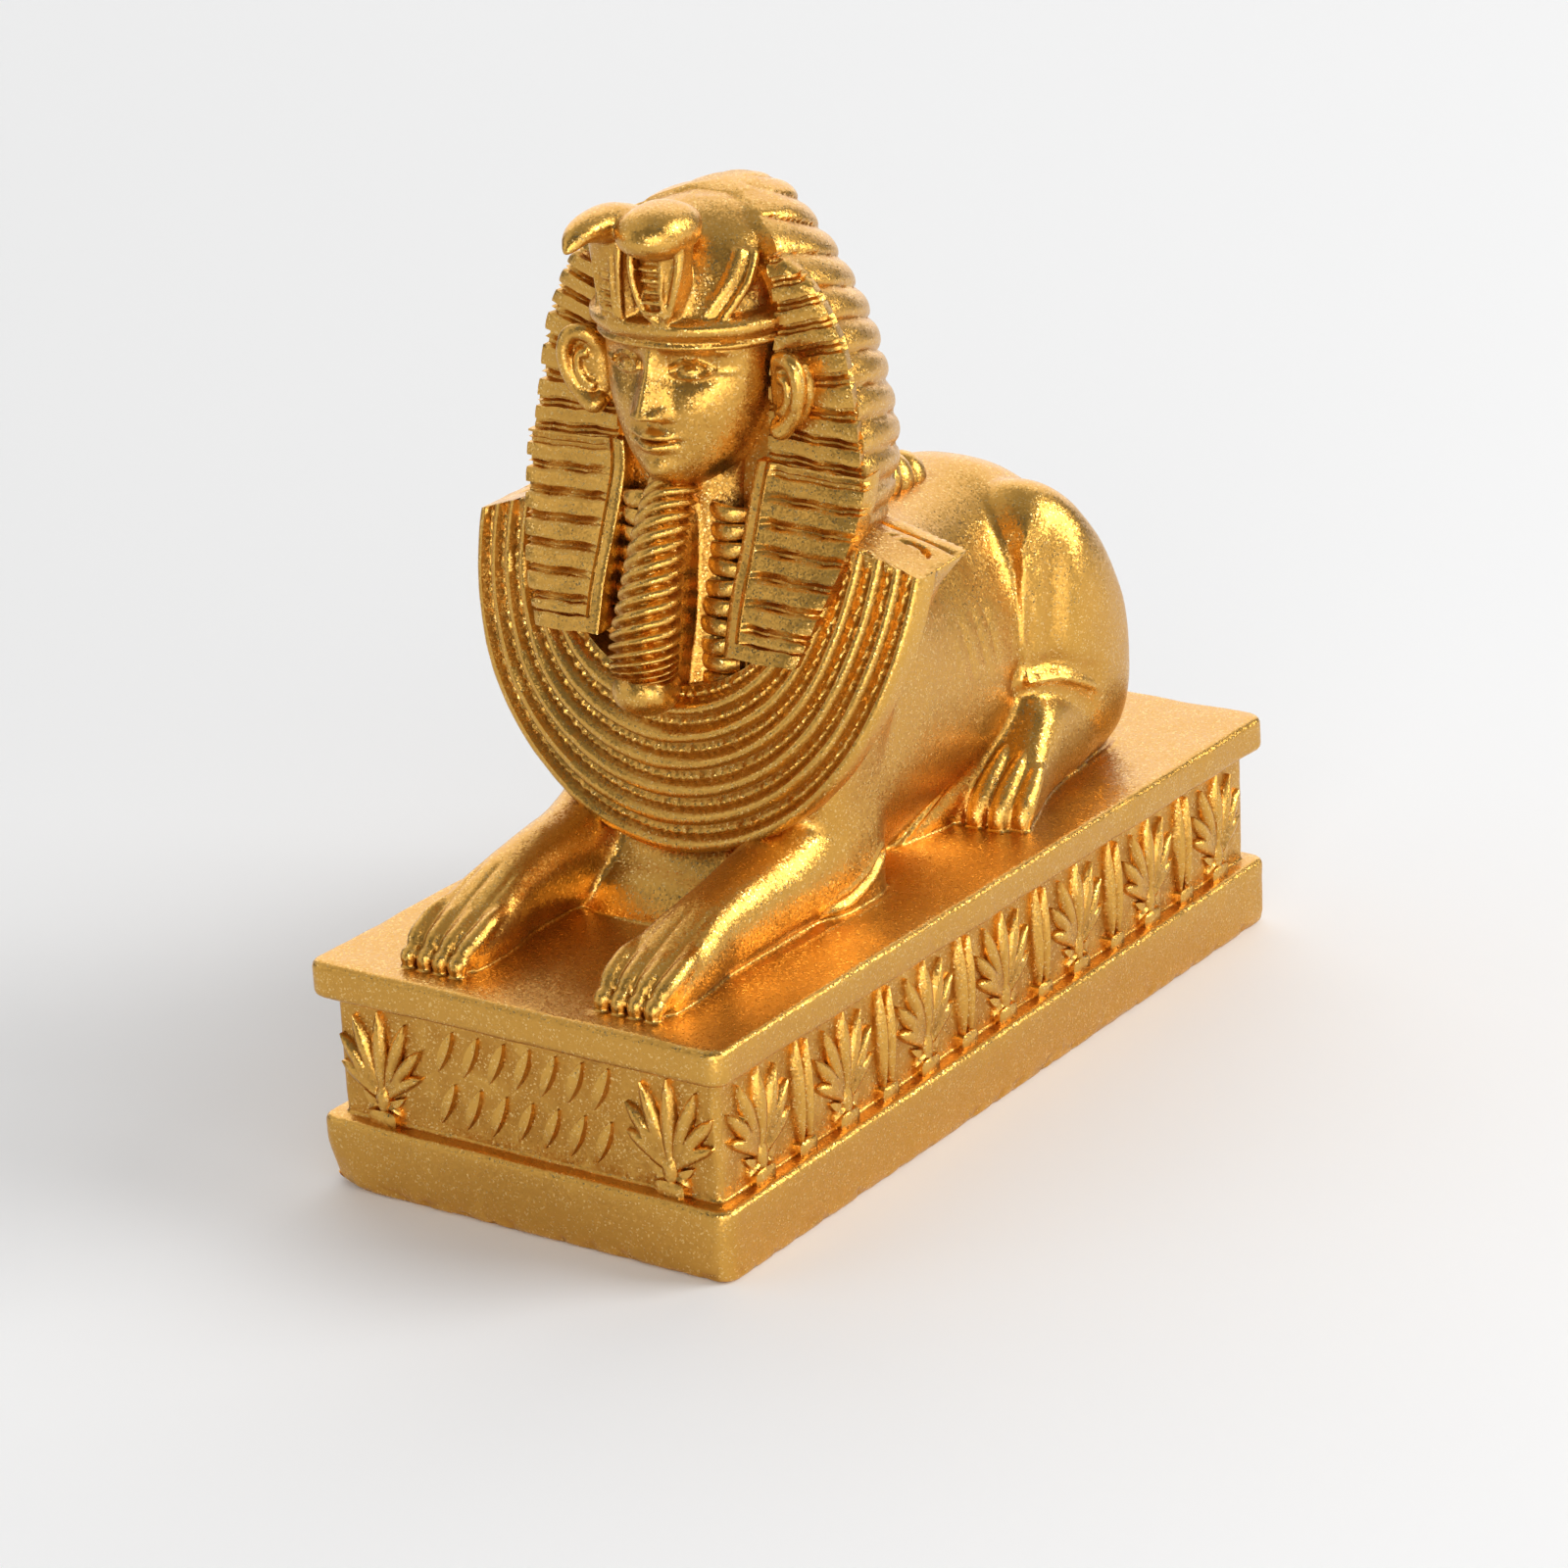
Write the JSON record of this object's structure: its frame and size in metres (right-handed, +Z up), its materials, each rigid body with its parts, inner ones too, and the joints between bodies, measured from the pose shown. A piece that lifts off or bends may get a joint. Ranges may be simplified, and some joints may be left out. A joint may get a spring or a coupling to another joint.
{
  "type": "sphinx statue",
  "caption": "Small gold-painted souvenir sphinx, lying on a plinth with a leaf frieze, cast in one piece in resin",
  "frame": {"origin": "centre of the plinth's underside", "axes": "+Z up, -Y is the way the sphinx faces, +Y towards its tail, +X to the sphinx's left"},
  "size_m": [0.0354, 0.07, 0.0642],
  "materials": {
    "gold_paint": "satin metallic gold paint with fine flake over cast resin, darker in the grooves"
  },
  "bodies": {
    "root": {"sphinx_statue": "gold_paint"}
  },
  "joints": []
}
